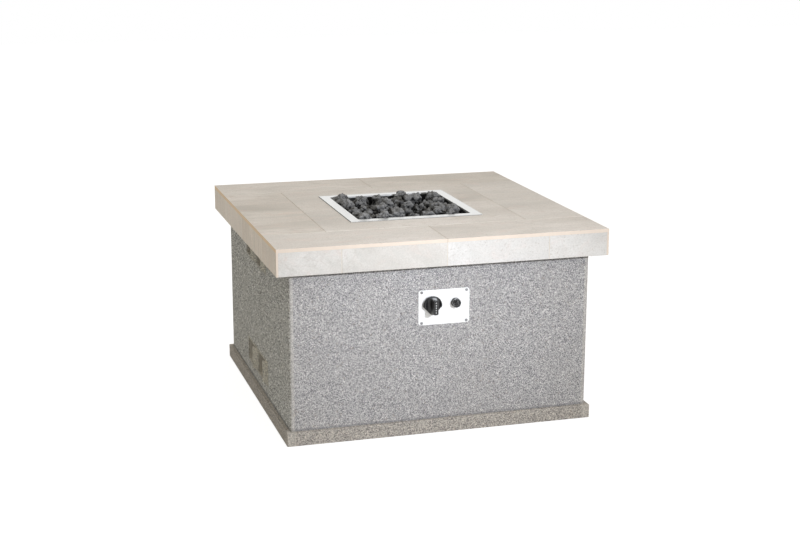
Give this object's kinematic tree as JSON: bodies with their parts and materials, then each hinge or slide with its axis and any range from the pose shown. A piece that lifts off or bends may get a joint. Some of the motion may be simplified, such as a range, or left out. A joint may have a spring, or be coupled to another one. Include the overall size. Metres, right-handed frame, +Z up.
{
  "type": "gas fire pit table",
  "caption": "Square gas fire pit table: tiled top with drop apron, rendered base, stainless pan of lava rock, knob and igniter plate.",
  "frame": {"origin": "centre of the square footprint, on the floor under the glides", "axes": "+X to the right along the front with the control plate, +Y from that front to the back with the door, +Z up"},
  "size_m": [0.978, 0.978, 0.6029],
  "materials": {
    "render": "sand-textured acrylic render, light warm grey",
    "plinth_render": "sand-textured render over a cement strip, slightly warmer grey",
    "frame_steel": "satin black powder coat on welded square tube",
    "painted_louvre": "matt grey-green powder coat on pressed sheet",
    "painted_sheet": "matt grey powder coat on folded sheet",
    "zinc_steel": "bright zinc plate",
    "cement_board": "plain fibre-cement board",
    "porcelain_tile": "matt glazed porcelain with a faint stone figure",
    "grout": "fine cement grout",
    "stainless": "brushed stainless sheet and tube",
    "brass": "machined brass, unlacquered",
    "cast_aluminium": "die-cast, tumbled",
    "tube_aluminium": "soft drawn tube",
    "spring_steel": "bright spring wire",
    "plate_steel": "pale satin sheet with rounded corners",
    "screw_steel": "bright pan-head screws",
    "knob_plastic": "black phenolic, satin sheen",
    "white_ink": "white inlay",
    "black_plastic": "black moulded plastic",
    "battery_jacket": "printed steel jacket, left plain",
    "ceramic_white": "fired alumina",
    "spark_steel": "heat-resisting wire",
    "lead_sleeve": "pale silicone sleeve",
    "lava_stone": "porous volcanic rock, dark neutral grey"
  },
  "bodies": {
    "table": {"wall_panel_front": "render", "wall_panel_back": "render", "wall_panel_left": "render", "wall_panel_right": "render", "plinth_strips": "plinth_render", "corner_posts": "frame_steel", "frame_rails": "frame_steel", "pan_bearers": "frame_steel", "floor_glides": "black_plastic", "vent_louvres": "painted_louvre", "door_frame": "painted_sheet", "hinge_fixed_leaf": "zinc_steel", "hinge_pin": "zinc_steel", "magnet_catch": "black_plastic", "top_board": "cement_board", "apron_boards": "cement_board", "apron_brackets": "zinc_steel", "top_border_tiles": "porcelain_tile", "top_inner_tiles": "porcelain_tile", "apron_tiles_front": "porcelain_tile", "apron_tiles_back": "porcelain_tile", "apron_tiles_left": "porcelain_tile", "apron_tiles_right": "porcelain_tile", "tile_grout": "grout", "burner_pan": "stainless", "h_burner": "stainless", "burner_locknuts": "brass", "air_mixer": "cast_aluminium", "gas_orifice": "brass", "mixer_elbow": "brass", "gas_tube": "tube_aluminium", "flare_nuts": "brass", "valve_cover": "cast_aluminium", "valve_body": "cast_aluminium", "gas_inlet_fitting": "brass", "valve_spring": "spring_steel", "valve_screws": "zinc_steel", "control_plate": "plate_steel", "panel_screws": "screw_steel", "igniter_body": "black_plastic", "igniter_nut": "black_plastic", "igniter_battery": "battery_jacket", "electrode_insulator": "ceramic_white", "electrode_rod": "spark_steel", "ignition_lead": "lead_sleeve", "lead_tie": "black_plastic", "lava_rocks": "lava_stone"},
    "stem_push": {"thrust_washer": "zinc_steel"},
    "knob": {"control_knob": "knob_plastic", "knob_dots": "white_ink", "valve_stem": "brass"},
    "igniter_cap": {"igniter_cap": "knob_plastic", "contact_spring": "spring_steel"},
    "igniter_button": {"igniter_button": "knob_plastic"},
    "door": {"access_door": "painted_sheet", "door_handle": "black_plastic", "handle_screw": "zinc_steel", "hinge_door_leaf": "zinc_steel", "catch_strike": "zinc_steel"}
  },
  "joints": [
    {"name": "knob_push", "type": "slide", "parent": "table", "child": "stem_push", "axis": [0, 1, 0], "range_m": [0, 0.003], "stiffness_N_per_m": 800, "springref_m": -0.004, "deforming": ["valve_spring"]},
    {"name": "knob_turn", "type": "hinge", "parent": "stem_push", "child": "knob", "pos_m": [-0.032, -0.447, 0.381], "axis": [0, -1, 0], "range_deg": [0, 215]},
    {"name": "igniter_cap_pull", "type": "slide", "parent": "table", "child": "igniter_cap", "axis": [0, -1, 0], "range_m": [0, 0.04]},
    {"name": "igniter_press", "type": "slide", "parent": "igniter_cap", "child": "igniter_button", "axis": [0, 1, 0], "range_m": [0, 0.002], "stiffness_N_per_m": 500, "springref_m": -0.003, "deforming": ["contact_spring"]},
    {"name": "door_swing", "type": "hinge", "parent": "table", "child": "door", "pos_m": [-0.20125, 0.4528, 0.262], "axis": [0, 0, 1], "range_deg": [0, 110]}
  ]
}
